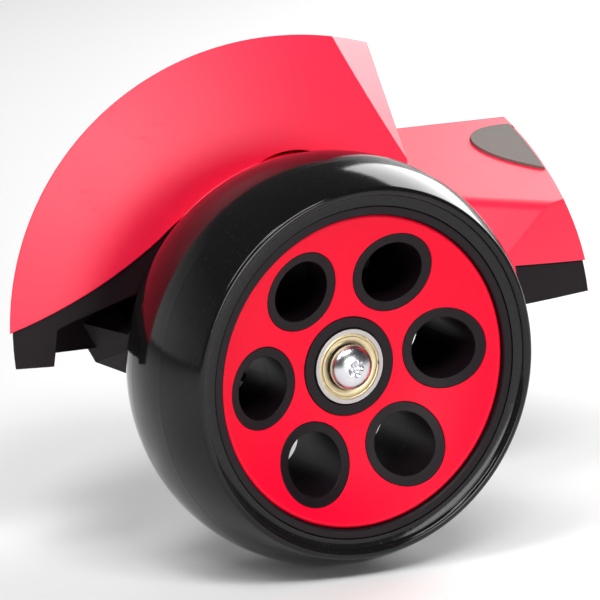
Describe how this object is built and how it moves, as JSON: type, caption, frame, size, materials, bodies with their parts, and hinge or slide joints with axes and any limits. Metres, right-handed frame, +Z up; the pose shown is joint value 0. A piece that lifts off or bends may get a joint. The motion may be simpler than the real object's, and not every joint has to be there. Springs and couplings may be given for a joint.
{
  "type": "ride-on corner wheel pod",
  "caption": "Ride-on corner pod: dished wheel with a glossy solid tyre on a fixed axle, behind it a swept fairing with wheel arch lip, deck wing, lower tray and bolt-on back plate.",
  "frame": {"origin": "on the back plate's mounting face, at the axle line", "axes": "+Y out of the mounting face into the vehicle, along the wheel's axle; -Y outboard; +Z up; +X towards the deck wing"},
  "size_m": [0.223, 0.1112, 0.1491],
  "materials": {
    "cover_red": "satin injection-moulded plastic",
    "disc_red": "satin injection-moulded plastic",
    "tray_black": "fine-grained moulded plastic",
    "plate_black": "fine-grained moulded plastic",
    "hub_black": "satin moulded plastic",
    "pad_rubber": "matt moulded rubber",
    "tyre": "glossy cast polyurethane",
    "zinc": "bright zinc plated",
    "steel": "ground bearing steel",
    "shield_gold": "yellow-zinc plated pressed sheet",
    "cage_nylon": "moulded nylon"
  },
  "bodies": {
    "root": {"top_cover": "cover_red", "lower_tray": "tray_black", "grip_pad": "pad_rubber", "mounting_plate": "plate_black", "cover_screws": "zinc", "plate_screws": "zinc", "axle_bolt": "zinc", "axle_nut": "zinc", "nut_washer": "zinc", "arm_spacer": "steel", "bearing_spacer": "steel", "outer_bearing_inner_ring": "steel", "inner_bearing_inner_ring": "steel"},
    "wheel": {"tyre": "tyre", "hub_outer_half": "hub_black", "hub_inner_half": "hub_black", "disc_cover": "disc_red", "hub_screws": "zinc", "outer_bearing_outer_ring": "steel", "inner_bearing_outer_ring": "steel", "outer_bearing_shields": "shield_gold", "inner_bearing_shields": "shield_gold", "outer_bearing_snap_rings": "steel", "inner_bearing_snap_rings": "steel"},
    "outer_cage": {"outer_bearing_cage": "cage_nylon", "outer_bearing_balls": "steel"},
    "inner_cage": {"inner_bearing_cage": "cage_nylon", "inner_bearing_balls": "steel"}
  },
  "joints": [
    {"name": "wheel_spin", "type": "hinge", "parent": "root", "child": "wheel", "pos_m": [0, -0.0882, 0], "axis": [0, 1, 0], "continuous": true},
    {"name": "outer_cage_spin", "type": "hinge", "parent": "root", "child": "outer_cage", "pos_m": [0, -0.0968, 0], "axis": [0, 1, 0], "continuous": true},
    {"name": "inner_cage_spin", "type": "hinge", "parent": "root", "child": "inner_cage", "pos_m": [0, -0.0796, 0], "axis": [0, 1, 0], "continuous": true}
  ],
  "couplings": [
    {"joint": "outer_cage_spin", "follows": "wheel_spin", "ratio": 0.6323},
    {"joint": "inner_cage_spin", "follows": "wheel_spin", "ratio": 0.6323}
  ]
}
